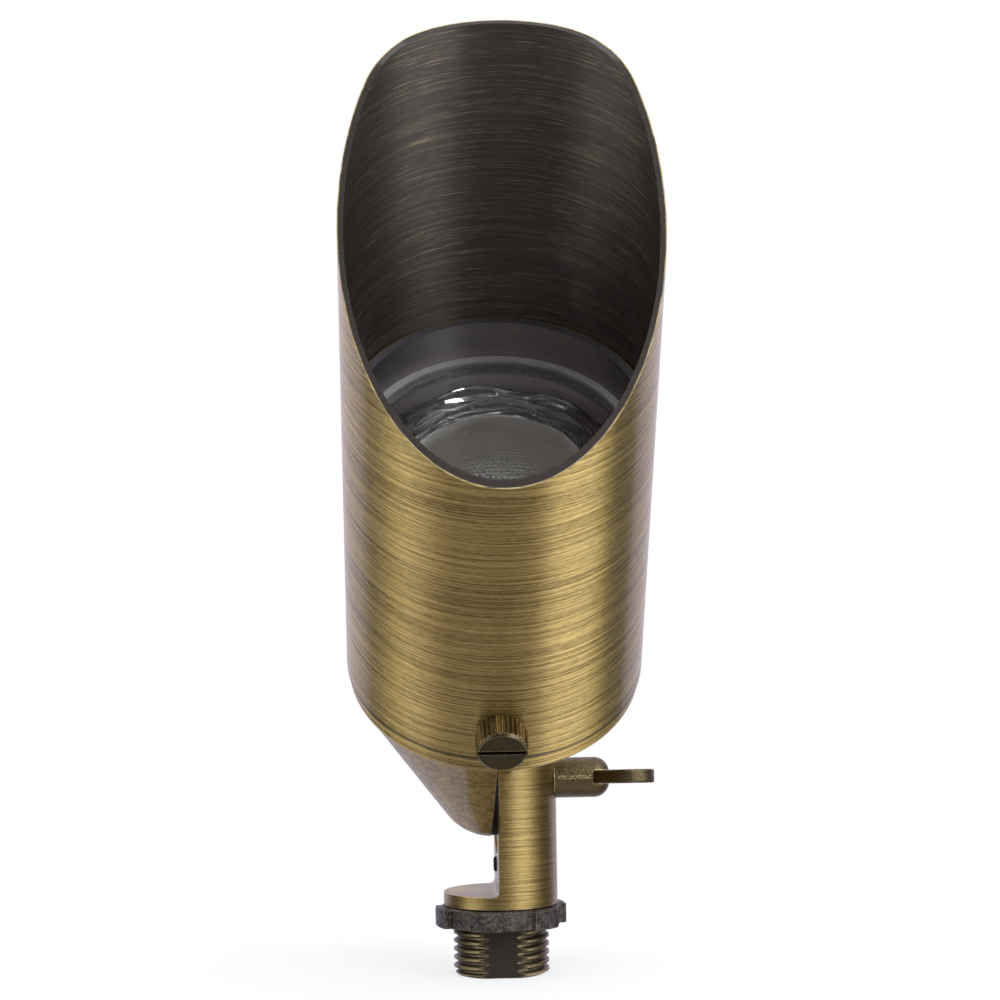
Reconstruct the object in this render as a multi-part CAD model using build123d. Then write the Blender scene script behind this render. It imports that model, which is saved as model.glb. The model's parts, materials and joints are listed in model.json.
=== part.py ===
from build123d import *
import math
import os

os.makedirs("parts", exist_ok=True)

# A garden spotlight in millimetres and degrees. The origin is on the thread's axis at the underside of the
# lock nut. Z is up, and the head leans towards -Y. Inside the head, s is the distance from the knuckle's
# axis along the axis of the head.

# Half-inch pipe thread and its lock nut
thread_radius = 10.48
thread_pitch = 25.4 / 14
thread_depth = 0.95
thread_root_width = 0.3
thread_side_angle = 30.0
thread_exposed = 10.6
thread_chamfer = 0.7
thread_overcut = 0.15
thread_relief = 0.2
thread_flat_depth = 1.45
nut_thickness = 4.4
nut_radius = 13.1
nut_lug_height = 1.3
nut_lug_count = 6
nut_lug_angle = 29.0
nut_turn = -16.0
nut_corner = 0.3
nut_gap = 0.3

# Stem: base disc and half-round post
stem_radius = 12.5
base_thickness = 2.7
pivot_height = 27.2
post_flat_x = -0.8
post_crown_margin = 0.1
ledge_fillet = 1.2
knuckle_pocket_radius = 16.4
knuckle_pocket_depth = 0.5
knuckle_pad_radius = 12.3
knuckle_pad_height = 0.3
wire_bore_radius = 5.5
wire_bore_roof = 2.2
wire_riser_radius = 2.8
wire_riser_x = 3.6
wire_ring_width = 4.0
wire_ring_depth = 5.0
window_radius = 1.7
window_sill = 4.1
plug_bulge = 0.65
plug_round = 0.52
plug_depth = 1.6

# Knuckle: washer, wing screw and nut
washer_thickness = 1.35
screw_radius = 2.5
spot_face_depth = 0.75
boss_radius = 4.4
boss_length = 12.4
boss_round = 3.4
wing_thickness = 3.0
wing_start = 6.85
wing_root_radius = 2.0
wing_tip_radius = 5.0
wing_length = 14.8
wing_reach = 13.0
wing_edge = 0.5
wing_turn = -5.6
seam_width = 0.5
seam_height = 0.15
knuckle_nut_flats = 8.0
knuckle_nut_thickness = 4.0
nut_pocket_floor = 0.5
screw_end = 0.8
hub_wall = 1.58

# Head: aim, cast housing and shroud
head_tilt = 39.6
head_offset = -1.5
shroud_wall = 1.2
shroud_length = 136.4
mouth_front = 71.7
mouth_angle = 50.3
mouth_round = 15.0
flange_bottom = 31.7
flange_thickness = 5.0
flange_step = 0.5
flange_round = 2.5
flange_chamfer = 0.3
nose_radius = 12.5
cone_step = 1.7
housing_wall = 2.5
floor_thickness = 3.5
cup_wall = 3.1
cup_lip_wall = 1.9
cup_height = 67.3

# Shroud's thumb screw and ring
thumb_height = 7.8
thumb_radius = 5.35
thumb_length = 5.7
thumb_chamfer = 0.6
thumb_teeth = 32
thumb_tooth_depth = 0.32
thumb_shank_radius = 2.0
thumb_slot_width = 0.95
thumb_slot_depth = 1.0
o_ring_section = 2.2
o_ring_drop = 20.0

# Cover glass and its gasket
glass_recess = 8.5
glass_thickness = 4.3
gasket_wall = 0.6
gasket_lip = 1.1

# Lamp
lamp_radius = 25.0
lamp_space = 1.6
lamp_length = 45.0
lamp_rim_height = 3.5
lamp_rim_width = 2.5
lamp_wall = 1.5
lamp_base_height = 8.0
lamp_plug_height = 3.0
lamp_neck_radius = 9.5
lens_edge = 1.5
lens_crown = 1.9
board_thickness = 1.6
board_drop = 17.0
emitter_radius = 4.5
emitter_height = 0.8
driver_width = 12.0
driver_height = 14.0
driver_thickness = 1.4
pin_radius = 0.75
pin_spacing = 5.33
pin_length = 6.5

# Socket, strap and leads
socket_length = 19.0
socket_width = 9.5
socket_height = 8.0
socket_corner = 1.0
contact_wall = 0.7
contact_height = 6.5
contact_drop = 0.5
strap_thickness = 0.8
strap_length = 40.0
strap_width = 10.0
strap_ear_height = 5.0
strap_ear_inset = 1.0
strap_screw_y = 15.5
strap_screw_x = 1.8
strap_screw_radius = 1.5
strap_screw_head_radius = 2.8
strap_screw_head_height = 2.0
strap_screw_depth = 2.7
lead_radius = 0.9
lead_bend = 3.0
lead_reach = 3.8
lead_rise = 2.5
splice_radius = 2.0
splice_length = 9.0
splice_bottom = 9.5
seal_hole_radius = 1.7
seal_flange = 0.5
seal_flange_thickness = 1.0

# Clearances
slide_gap = 0.3
running_gap = 0.08
seat_gap = 0.05
touch_gap = 0.15

# Ways of placing, how far a cut runs past what it cuts, and half a side of a hexagon
STAND = (Align.CENTER, Align.CENTER, Align.MIN)
SPARE = 1.0
HEXAGON_HALF = math.radians(30)

# Heights and places that follow from the driving dimensions
shoulder_z = nut_thickness + nut_gap
base_top_z = shoulder_z + base_thickness
pivot_z = shoulder_z + pivot_height
pocket_x = post_flat_x + knuckle_pocket_depth
pad_x = pocket_x - knuckle_pad_height
spot_face_x = stem_radius - spot_face_depth
housing_flat_x = pad_x - washer_thickness - seat_gap
flat_in_head = housing_flat_x - head_offset
inner_flat = flat_in_head - housing_wall

hub_radius = knuckle_nut_flats / 2 / math.cos(HEXAGON_HALF) + hub_wall
hub_end = inner_flat - nut_pocket_floor - knuckle_nut_thickness - seat_gap
seal_flange_radius = seal_hole_radius + seal_flange
seal_s = hub_radius + seal_flange_radius + slide_gap
ring_middle = seal_s
ring_inner = ring_middle - wire_ring_width / 2
ring_outer = ring_middle + wire_ring_width / 2

flange_top = flange_bottom + flange_thickness
floor_top = flange_bottom + floor_thickness
shroud_bottom = flange_top + seat_gap
cup_radius = lamp_radius + lamp_space
collar_radius = cup_radius + cup_wall
bore_radius = collar_radius + slide_gap
shroud_radius = bore_radius + shroud_wall
cup_top = flange_top + cup_height
cone_top_radius = shroud_radius - cone_step
cone_angle = math.acos(nose_radius / math.hypot(cone_top_radius, flange_bottom)) - math.atan2(
    flange_bottom, cone_top_radius
)

seat_radius = collar_radius - cup_lip_wall
gasket_radius = seat_radius - seat_gap
glass_radius = gasket_radius - gasket_wall
gasket_height = glass_thickness + 2 * gasket_wall
gasket_top = cup_top - glass_recess
gasket_bottom = gasket_top - gasket_height

o_ring_radius = o_ring_section / 2
o_ring_middle = bore_radius - running_gap - o_ring_radius
o_ring_s = cup_top - o_ring_drop
thumb_s = shroud_bottom + thumb_height

socket_bottom = floor_top + strap_thickness
socket_top = socket_bottom + socket_height
shell_bottom = socket_top + lamp_base_height
rim_top = socket_top + lamp_length
rim_bottom = rim_top - lamp_rim_height
lens_radius = lamp_radius - lamp_rim_width - running_gap
shell_slope = (lamp_radius - lamp_rim_width - lamp_neck_radius + lamp_wall) / (rim_bottom - shell_bottom)
board_bottom = rim_top - board_drop
contact_radius = pin_radius + running_gap + contact_wall
contact_top = socket_top - contact_drop
lead_x = -socket_width / 2 - lead_reach
lead_s = socket_bottom + lead_rise


def in_place(shape):
    """Lean an upright piece of the head over the knuckle."""
    lean = math.radians(head_tilt)
    seat = Plane(
        origin=(head_offset, 0, pivot_z),
        x_dir=(1, 0, 0),
        z_dir=(0, -math.sin(lean), math.cos(lean)),
    )
    return seat.location * shape


def save(name, *solids):
    """Write one node, whose solids stay separate."""
    shape = solids[0] if len(solids) == 1 else Compound(children=list(solids))
    export_step(shape, f"parts/{name}.step")


def disc(radius, low, high):
    """A cylinder about Z between two heights."""
    return Pos(0, 0, low) * Cylinder(radius, high - low, align=STAND)


def ring(outer, inner, low, high):
    """A tube about Z between two heights."""
    return disc(outer, low, high) - disc(inner, low - SPARE, high + SPARE)


def cross_bar(radius, left, right, height=0.0):
    """A cylinder along X between two places, at a height above the knuckle's axis."""
    return Pos(left, 0, height) * Rot(0, 90, 0) * Cylinder(radius, right - left, align=STAND)


def block(left, right, front, back, low, high):
    """A box between its six sides."""
    corner = (Align.MIN, Align.MIN, Align.MIN)
    return Pos(left, front, low) * Box(right - left, back - front, high - low, align=corner)


def turned(*corners):
    """A body turned about Z from the corners of its half section, each given as radius and height."""
    outline = Polyline(*corners, close=True)
    return revolve(Plane.XZ * make_face(outline), Axis.Z)


def nearest_edge(shape, point):
    """The edge whose middle is closest to a point."""
    return min(shape.edges(), key=lambda edge: (edge.center() - Vector(*point)).length)


# Stem


def thread_groove():
    """The groove of the pipe thread, a wedge that winds up into the relief under the shoulder."""
    bottom = -thread_exposed - thread_pitch
    top = shoulder_z - thread_pitch / 2
    path = Helix(thread_pitch, top - bottom, thread_radius, center=(0, 0, bottom))
    root = thread_root_width / 2
    mouth = root + (thread_depth + thread_overcut) * math.tan(math.radians(thread_side_angle))
    wedge = Polyline(
        (-thread_depth, -root),
        (thread_overcut, -mouth),
        (thread_overcut, mouth),
        (-thread_depth, root),
        close=True,
    )
    start = Plane(origin=path @ 0, x_dir=(1, 0, 0), z_dir=path % 0)
    return sweep(start * make_face(wedge), path=path, is_frenet=True)


def nipple():
    """The threaded end, with a relief under the shoulder and cast flats at front and back."""
    body = turned(
        (0, -thread_exposed),
        (thread_radius - thread_chamfer, -thread_exposed),
        (thread_radius, -thread_exposed + thread_chamfer),
        (thread_radius, shoulder_z + SPARE),
        (0, shoulder_z + SPARE),
    )
    body -= thread_groove()
    neck = thread_radius - thread_depth - thread_relief
    body -= ring(2 * thread_radius, neck, shoulder_z - thread_pitch, shoulder_z)
    side = thread_radius - thread_flat_depth
    low = -thread_exposed - SPARE
    for front, back in ((-2 * thread_radius, -side), (side, 2 * thread_radius)):
        body -= block(-thread_radius, thread_radius, front, back, low, shoulder_z)
    return body


def knuckle_bar(radius, left, right):
    """A cylinder about the knuckle's axis, in the frame of the stem."""
    return cross_bar(radius, left, right, pivot_z)


def post():
    """Base disc and half-round post with the knuckle's round top."""
    crown = stem_radius + post_crown_margin
    column = disc(stem_radius, shoulder_z, pivot_z + crown + SPARE)
    wall = block(-crown, crown, -crown, crown, shoulder_z - SPARE, pivot_z)
    column &= wall + knuckle_bar(crown, -crown, crown)
    column -= block(-crown, post_flat_x, -crown, crown, base_top_z, pivot_z + 2 * crown)
    corner = nearest_edge(column, (post_flat_x, 0, base_top_z))
    column = fillet(corner, ledge_fillet)
    column -= knuckle_bar(knuckle_pocket_radius, post_flat_x - stem_radius, pocket_x) & block(
        -crown, crown, -crown, crown, base_top_z + ledge_fillet, pivot_z + 2 * crown
    )
    pad = knuckle_bar(knuckle_pad_radius, pad_x, pocket_x + SPARE)
    return column + (pad & disc(stem_radius, shoulder_z, pivot_z + 2 * crown))


def window(gap, left, right):
    """The round window in the post's flat face, or the plug that closes it."""
    return cross_bar(window_radius - gap, left, right, base_top_z + window_sill + window_radius)


def stem_base():
    """One casting: thread, base disc and post, with the wire's way through it."""
    roof = base_top_z - wire_bore_roof
    body = post() + nipple()
    body -= disc(wire_bore_radius, -thread_exposed - SPARE, roof)
    riser_top = pivot_z - ring_middle
    body -= Pos(wire_riser_x, 0, 0) * disc(wire_riser_radius, roof - SPARE, riser_top)
    groove = knuckle_bar(ring_outer, pad_x - SPARE, pad_x + wire_ring_depth)
    groove -= knuckle_bar(ring_inner, pad_x - 2 * SPARE, pad_x + wire_ring_depth + SPARE)
    body -= groove
    body -= window(0, post_flat_x - SPARE, wire_riser_x)
    body -= knuckle_bar(screw_radius + running_gap, -stem_radius, 2 * stem_radius)
    body -= knuckle_bar(boss_radius + slide_gap, spot_face_x, 2 * stem_radius)
    return body


def wire_plug():
    """Rubber plug of the window, bulging out of the flat face."""
    left = post_flat_x - plug_bulge
    body = window(seat_gap, left, post_flat_x + plug_depth)
    rim = body.faces().sort_by(Axis.X)[0].edges()
    return fillet(rim, plug_round)


def lock_nut():
    """Six-lug lock nut with a plain clearance bore."""
    outer = nut_radius + nut_lug_height
    lug_width = 2 * outer * math.sin(math.radians(nut_lug_angle / 2))
    outline = Circle(nut_radius)
    for index in range(nut_lug_count):
        turn = nut_turn - 90 + index * 360 / nut_lug_count
        lug = Rectangle(outer, lug_width, align=(Align.MIN, Align.CENTER))
        outline += Rot(0, 0, turn) * lug & Circle(outer)
    body = extrude(outline, nut_thickness)
    rims = body.faces().sort_by(Axis.Z)
    body = chamfer(rims[0].edges() + rims[-1].edges(), nut_corner)
    return body - disc(thread_radius + running_gap, -SPARE, nut_thickness + SPARE)


def knuckle_washer():
    """Rubber ring between the post's pad and the housing's flat."""
    outer = knuckle_bar(knuckle_pad_radius, pad_x - washer_thickness, pad_x)
    return outer - knuckle_bar(ring_outer + seat_gap, pad_x - 2 * washer_thickness, pad_x + SPARE)


def wing_plate(side):
    """One wing in the XY plane, hulled from its root to its round tip."""
    root = Pos(wing_start + wing_root_radius, side * wing_root_radius / 2) * Circle(wing_root_radius)
    tip_x = wing_start + wing_length - wing_tip_radius
    tip = Pos(tip_x, side * (wing_reach - wing_tip_radius)) * Circle(wing_tip_radius)
    plate = extrude(make_hull(root.edges() + tip.edges()), wing_thickness / 2, both=True)
    flats = plate.faces().sort_by(Axis.Z)
    return fillet(flats[0].edges() + flats[-1].edges(), wing_edge)


def wing_screw():
    """Cast wing screw: shank, boss with a round end, two wings and a seam in their plane."""
    start = spot_face_x + touch_gap
    boss = cross_bar(boss_radius, 0, boss_length)
    boss = fillet(boss.edges().sort_by(Axis.X)[-1], boss_round)
    half = seam_width / 2
    side = boss_radius + seam_height
    seam = block(spot_face_depth + slide_gap, boss_length - boss_round, -side, side, -half, half)
    body = boss + Rot(wing_turn, 0, 0) * (wing_plate(1) + wing_plate(-1) + seam)
    tip = head_offset + hub_end - screw_end
    return Pos(start, 0, pivot_z) * (body + cross_bar(screw_radius, tip - start, SPARE))


# Housing


def cone_radius(nose, s):
    """Radius of the cone that touches a round nose, at the height s."""
    return (nose + s * math.sin(cone_angle)) / math.cos(cone_angle)


def half_cone(nose, top, flat):
    """Round nose and cone about the head's axis, left of a flat."""
    touch = Vector(nose * math.cos(cone_angle), -nose * math.sin(cone_angle))
    middle = math.radians(-90) / 2 - cone_angle / 2
    bend = Vector(nose * math.cos(middle), nose * math.sin(middle))
    edge = ThreePointArc((0, -nose), bend, touch)
    edge += Polyline(touch, (cone_radius(nose, top), top), (0, top), (0, -nose))
    body = revolve(Plane.XZ * make_face(edge), Axis.Z)
    span = 2 * shroud_radius
    return body & block(-span, flat, -span, span, -span, top)


def flange():
    """Round-edged flange that the shroud stands on."""
    body = disc(shroud_radius - flange_step, flange_bottom, flange_top)
    rims = body.edges().sort_by(Axis.Z)
    body = fillet(rims[0], flange_round)
    return chamfer(body.edges().sort_by(Axis.Z)[-1], flange_chamfer)


def nut_hexagon(gap, left, right):
    """Hexagon about the knuckle's axis between two places."""
    corner = (knuckle_nut_flats / 2 + gap) / math.cos(HEXAGON_HALF)
    face = Plane(origin=(left, 0, 0), x_dir=(0, 1, 0), z_dir=(1, 0, 0)) * RegularPolygon(corner, 6)
    return extrude(face, right - left)


def strap_screw_places():
    """Centres of the two strap screws."""
    return [(strap_screw_x, side * strap_screw_y) for side in (-1, 1)]


def rear_housing():
    """Cast half cone, flange and lamp cup with the knuckle's hub inside."""
    outside = half_cone(nose_radius, flange_bottom + flange_round / 2, flat_in_head)
    outside += flange()
    outside += disc(collar_radius, flange_top - SPARE, cup_top)
    hollow = half_cone(nose_radius - housing_wall, floor_top, inner_flat)
    hollow &= disc(cup_radius, -nose_radius, floor_top)
    hub = cross_bar(hub_radius, hub_end, inner_flat + SPARE)
    body = outside - (hollow - hub)
    body -= disc(cup_radius, floor_top, cup_top + SPARE)
    body -= disc(seat_radius, gasket_bottom, cup_top + SPARE)
    groove_half = o_ring_radius + running_gap
    groove_floor = o_ring_middle - o_ring_radius - running_gap
    groove = ring(shroud_radius, groove_floor, o_ring_s - groove_half, o_ring_s + groove_half)
    body -= groove
    body -= nut_hexagon(seat_gap, hub_end - SPARE, inner_flat - nut_pocket_floor)
    body -= cross_bar(screw_radius + running_gap, hub_end, flat_in_head + SPARE)
    body -= Pos(0, 0, seal_s) * cross_bar(seal_hole_radius, inner_flat - SPARE, flat_in_head + SPARE)
    for x, y in strap_screw_places():
        body -= Pos(x, y, 0) * disc(strap_screw_radius + seat_gap, floor_top - strap_screw_depth, cup_top)
    return body


def knuckle_nut():
    """Hexagon nut in the hub."""
    right = inner_flat - nut_pocket_floor - seat_gap
    left = right - knuckle_nut_thickness
    return nut_hexagon(0, left, right) - cross_bar(screw_radius + running_gap, left - SPARE, right + SPARE)


def lead_seal():
    """Rubber bush for the supply lead in the housing's flat wall."""
    body = cross_bar(seal_hole_radius - seat_gap, inner_flat - SPARE, flat_in_head)
    body += cross_bar(seal_flange_radius, inner_flat - seal_flange_thickness, inner_flat)
    body &= cross_bar(seal_flange_radius, inner_flat - seal_flange_thickness, flat_in_head)
    return Pos(0, 0, seal_s) * (body - cross_bar(lead_radius, inner_flat - 2 * SPARE, flat_in_head + SPARE))


# Shroud


def shroud():
    """Tube with a slanted mouth, round where it runs into the tube's end, and the thumb screw's hole."""
    top = shroud_bottom + shroud_length
    lip = shroud_bottom + mouth_front
    slope = math.tan(math.radians(mouth_angle))
    reach = 2 * shroud_radius
    tube = ring(shroud_radius, bore_radius, shroud_bottom, top + SPARE)
    front = (-reach, lip - (reach - shroud_radius) * slope)
    corner = ((top - lip) / slope - shroud_radius, top)
    above = make_face(
        Polyline(front, corner, (reach, top), (reach, top + reach), (-reach, top + reach), close=True)
    )
    bend = above.vertices().sort_by_distance((*corner, 0))[0]
    mouth = extrude(Plane.YZ * fillet(bend, mouth_round), reach, both=True)
    hole = Pos(0, 0, thumb_s) * Rot(90, 0, 0) * Cylinder(thumb_shank_radius + running_gap, reach, align=STAND)
    return tube - mouth - hole


def thumb_screw():
    """Knurled and slotted screw, built upright and laid towards the front."""
    outline = []
    for index in range(2 * thumb_teeth):
        angle = math.pi * index / thumb_teeth
        radius = thumb_radius - thumb_tooth_depth * (index % 2)
        outline.append((radius * math.cos(angle), radius * math.sin(angle)))
    under = shroud_radius + touch_gap
    face = under + thumb_length
    knurl = extrude(Pos(0, 0, under) * make_face(Polyline(*outline, close=True)), thumb_length)
    blank = disc(thumb_radius, under, face)
    rims = blank.edges().sort_by(Axis.Z)
    blank = chamfer(rims[-1], thumb_chamfer)
    head = knurl & chamfer(blank.edges().sort_by(Axis.Z)[0], thumb_tooth_depth)
    half = thumb_slot_width / 2
    head -= block(-shroud_radius, shroud_radius, -half, half, face - thumb_slot_depth, face + SPARE)
    shank = disc(thumb_shank_radius, collar_radius + touch_gap, under + SPARE)
    return Pos(0, 0, thumb_s) * Rot(90, 0, 0) * (head + shank)


def shroud_o_ring():
    """Rubber ring in the cup's groove."""
    return Pos(0, 0, o_ring_s) * Torus(o_ring_middle, o_ring_radius)


# Glass and lamp


def cover_glass():
    """Flat clear glass."""
    low = gasket_bottom + gasket_wall
    return disc(glass_radius, low, low + glass_thickness)


def lens_gasket():
    """U-section rubber ring round the glass."""
    low = gasket_bottom + gasket_wall
    body = ring(gasket_radius, glass_radius - gasket_lip, gasket_bottom, gasket_top)
    return body - disc(glass_radius, low, low + glass_thickness)


def shell_inside(s):
    """Inner radius of the lamp's shell at a height."""
    return lamp_neck_radius - lamp_wall + (s - shell_bottom) * shell_slope


def lamp_shell():
    """Conical body of the lamp with its rim."""
    inner = lamp_radius - lamp_rim_width
    return turned(
        (lamp_neck_radius - lamp_wall, shell_bottom),
        (lamp_neck_radius, shell_bottom),
        (inner + lamp_wall, rim_bottom),
        (lamp_radius, rim_bottom),
        (lamp_radius, rim_top),
        (inner, rim_top),
        (inner, rim_bottom),
    )


def lamp_lens():
    """Clear lens with a domed top."""
    shoulder = rim_bottom + lens_edge
    top = shoulder + lens_crown
    dome = (lens_radius**2 + lens_crown**2) / (2 * lens_crown)
    half = math.asin(lens_radius / dome) / 2
    middle = (dome * math.sin(half), top - dome + dome * math.cos(half))
    outline = Polyline((0, top), (0, rim_bottom), (lens_radius, rim_bottom), (lens_radius, shoulder))
    outline += ThreePointArc((lens_radius, shoulder), middle, (0, top))
    return revolve(Plane.XZ * make_face(outline), Axis.Z)


def led_board():
    """Metal board wedged in the lamp's conical shell."""
    return disc(shell_inside(board_bottom) - seat_gap, board_bottom, board_bottom + board_thickness)


def led_emitter():
    """Light-emitting chip on the board."""
    low = board_bottom + board_thickness
    return disc(emitter_radius, low, low + emitter_height)


def lamp_driver():
    """Driver board standing on the lamp's base."""
    half = driver_width / 2
    thick = driver_thickness / 2
    return block(-thick, thick, -half, half, shell_bottom, shell_bottom + driver_height)


def lamp_base():
    """Plastic base: round neck over the flat plug."""
    neck = disc(lamp_neck_radius, socket_top + lamp_plug_height, shell_bottom)
    half_width = socket_width / 2
    plug = block(-half_width, half_width, -lamp_neck_radius, lamp_neck_radius, socket_top, shell_bottom)
    return neck + (plug & disc(lamp_neck_radius, socket_top, shell_bottom))


def pin_pair(shape):
    """Two copies of a shape, a pin spacing apart."""
    return [Pos(0, side * pin_spacing / 2, 0) * shape for side in (-1, 1)]


def lamp_pins():
    """The lamp's two pins."""
    return pin_pair(disc(pin_radius, socket_top - pin_length, socket_top))


def socket_contacts():
    """Two contact sleeves in the socket."""
    return pin_pair(ring(contact_radius, pin_radius + running_gap, contact_top - contact_height, contact_top))


def lamp_socket():
    """Ceramic block with two contact holes."""
    half_width = socket_width / 2
    half_length = socket_length / 2
    body = block(-half_width, half_width, -half_length, half_length, socket_bottom, socket_top)
    body = fillet(body.edges().filter_by(Axis.Z), socket_corner)
    for hole in pin_pair(disc(contact_radius + seat_gap, contact_top - contact_height, socket_top + SPARE)):
        body -= hole
    return body


def socket_bracket():
    """Steel strap with two ears that grip the socket."""
    half_width = strap_width / 2
    half_length = strap_length / 2
    body = block(-half_width, half_width, -half_length, half_length, floor_top, socket_bottom)
    ear_width = socket_width / 2 - strap_ear_inset
    for side in (-1, 1):
        near = side * (socket_length / 2 + seat_gap)
        far = near + side * strap_thickness
        ear_top = socket_bottom + strap_ear_height
        body += block(-ear_width, ear_width, min(near, far), max(near, far), floor_top, ear_top)
    for x, y in strap_screw_places():
        body -= Pos(x, y, 0) * disc(strap_screw_radius + seat_gap, floor_top - SPARE, socket_bottom + SPARE)
    return body


def bracket_screws():
    """Two pan-head screws of the strap."""
    head_top = socket_bottom + strap_screw_head_height
    head = disc(strap_screw_head_radius, socket_bottom, head_top)
    head = fillet(head.edges().sort_by(Axis.Z)[-1], strap_screw_head_height / 2)
    screw = head + disc(strap_screw_radius, floor_top - strap_screw_depth + seat_gap, socket_bottom + SPARE)
    return [Pos(x, y, 0) * screw for x, y in strap_screw_places()]


def socket_leads():
    """Two leads from the socket's side down into the cone."""
    end = splice_bottom + splice_length
    route = FilletPolyline(
        (-socket_width / 2, 0, lead_s), (lead_x, 0, lead_s), (lead_x, 0, end), radius=lead_bend
    )
    start = Plane(origin=route @ 0, z_dir=route % 0)
    return pin_pair(sweep(start * Circle(lead_radius), path=route))


def crimp_splices():
    """Two crimps at the lower ends of the leads."""
    body = disc(splice_radius, splice_bottom, splice_bottom + splice_length)
    return pin_pair(Pos(lead_x, 0, 0) * body)


save("stem_base", stem_base())
save("lock_nut", lock_nut())
save("wire_plug", wire_plug())
save("knuckle_washer", knuckle_washer())
save("wing_screw", wing_screw())

for piece in (
    rear_housing,
    knuckle_nut,
    lead_seal,
    shroud,
    thumb_screw,
    shroud_o_ring,
    cover_glass,
    lens_gasket,
    lamp_shell,
    lamp_lens,
    led_board,
    led_emitter,
    lamp_driver,
    lamp_base,
    lamp_socket,
    socket_bracket,
):
    save(piece.__name__, in_place(piece()))

for group in (lamp_pins, socket_contacts, bracket_screws, socket_leads, crimp_splices):
    save(group.__name__, *[in_place(solid) for solid in group()])
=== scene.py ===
"""Finishes, lamp details and a studio stage for a brass garden spotlight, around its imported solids."""

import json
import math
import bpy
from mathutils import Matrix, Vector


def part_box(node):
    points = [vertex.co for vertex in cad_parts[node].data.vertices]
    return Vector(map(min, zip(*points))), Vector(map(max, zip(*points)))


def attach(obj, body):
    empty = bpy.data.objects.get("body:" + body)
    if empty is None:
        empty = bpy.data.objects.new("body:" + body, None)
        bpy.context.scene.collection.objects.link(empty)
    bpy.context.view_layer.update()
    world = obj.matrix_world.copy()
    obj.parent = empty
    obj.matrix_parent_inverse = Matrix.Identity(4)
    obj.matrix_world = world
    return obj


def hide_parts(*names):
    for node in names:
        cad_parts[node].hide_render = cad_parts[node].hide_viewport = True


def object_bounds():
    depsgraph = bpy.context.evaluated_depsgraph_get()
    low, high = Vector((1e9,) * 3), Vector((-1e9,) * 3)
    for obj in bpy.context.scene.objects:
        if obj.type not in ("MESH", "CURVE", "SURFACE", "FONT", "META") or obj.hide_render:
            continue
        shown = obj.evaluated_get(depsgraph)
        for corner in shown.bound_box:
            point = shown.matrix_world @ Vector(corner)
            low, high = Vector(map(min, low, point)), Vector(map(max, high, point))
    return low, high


bl_info = {
    "name": "Brass garden spotlight",
    "version": (1, 0, 0),
    "blender": (4, 5, 0),
    "location": "View3D > Sidebar > Spotlight",
    "description": "Antique brass finishes, a pressed glass lamp front and a studio stage",
    "category": "Object",
}

import bmesh
import bpy
from bpy.props import FloatProperty, FloatVectorProperty, IntProperty, PointerProperty
from mathutils import Matrix, Vector

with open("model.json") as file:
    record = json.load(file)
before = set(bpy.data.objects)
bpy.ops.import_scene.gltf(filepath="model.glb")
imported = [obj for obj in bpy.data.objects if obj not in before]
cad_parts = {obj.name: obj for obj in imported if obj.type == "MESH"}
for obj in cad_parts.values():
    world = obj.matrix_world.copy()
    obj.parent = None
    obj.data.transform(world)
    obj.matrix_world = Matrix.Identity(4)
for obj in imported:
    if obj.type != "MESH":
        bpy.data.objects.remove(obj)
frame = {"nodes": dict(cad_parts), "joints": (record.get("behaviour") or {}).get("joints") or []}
CAD_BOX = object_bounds()
NODES = frame["nodes"]
JOINTS = {joint["name"]: joint for joint in frame["joints"]}

MM = 0.001

# The head leans about the knuckle. Its own axes start on the knuckle's height and run up the shroud.
KNUCKLE = Vector(JOINTS["head_tilt"]["pos_m"])
HEAD_AXIS = Vector(JOINTS["shroud_turn"]["axis"]).normalized()
RING_PLACE = Vector(JOINTS["shroud_turn"]["pos_m"])
HEAD_FOOT = RING_PLACE - HEAD_AXIS * (RING_PLACE - KNUCKLE).dot(HEAD_AXIS)
HEAD_LEAN = math.atan2(-HEAD_AXIS.y, HEAD_AXIS.z)
HEAD_FRAME = Matrix.Translation(HEAD_FOOT) @ Matrix.Rotation(HEAD_LEAN, 4, "X")

# Frames of the pieces, each as its foot and its turn.
UPRIGHT = ((0.0, 0.0, 0.0), (0.0, 0.0, 0.0))
ALONG_HEAD = (tuple(HEAD_FOOT), (HEAD_LEAN, 0.0, 0.0))


def turned_size(node, matrix):
    """Lowest and highest place along a frame's Z axis, and smallest and largest radius about it."""
    to_frame = matrix.inverted()
    places = [to_frame @ vertex.co for vertex in NODES[node].data.vertices]
    along = [place.z for place in places]
    radii = [math.hypot(place.x, place.y) for place in places]
    return min(along), max(along), min(radii), max(radii)


SHROUD_LOW, _, BORE_RADIUS, SHROUD_RADIUS = turned_size("shroud", HEAD_FRAME)
SHELL_LOW, SHELL_HIGH, SHELL_BORE, SHELL_RADIUS = turned_size("lamp_shell", HEAD_FRAME)
LENS_LOW, LENS_HIGH, _, LENS_RADIUS = turned_size("lamp_lens", HEAD_FRAME)
PANE_LOW, PANE_HIGH, _, PANE_RADIUS = turned_size("cover_glass", HEAD_FRAME)
NUT_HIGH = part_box("lock_nut")[1].z

# The lamp's front lies a little inside its solids.
DOME_SHARE = 0.8
DOME_DROP = 1.2 * MM
RIM_DROP = 1.3 * MM
DOME_RADIUS = DOME_SHARE * LENS_RADIUS
DOME_TOP = LENS_HIGH - DOME_DROP
RIM_TOP = SHELL_HIGH - RIM_DROP

THREAD_RADIUS = 10.48 * MM
THREAD_DEPTH = 0.8 * MM
BRUSH_SWEEP = 1.6
WHITE = (1.0, 1.0, 1.0, 1.0)


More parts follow.
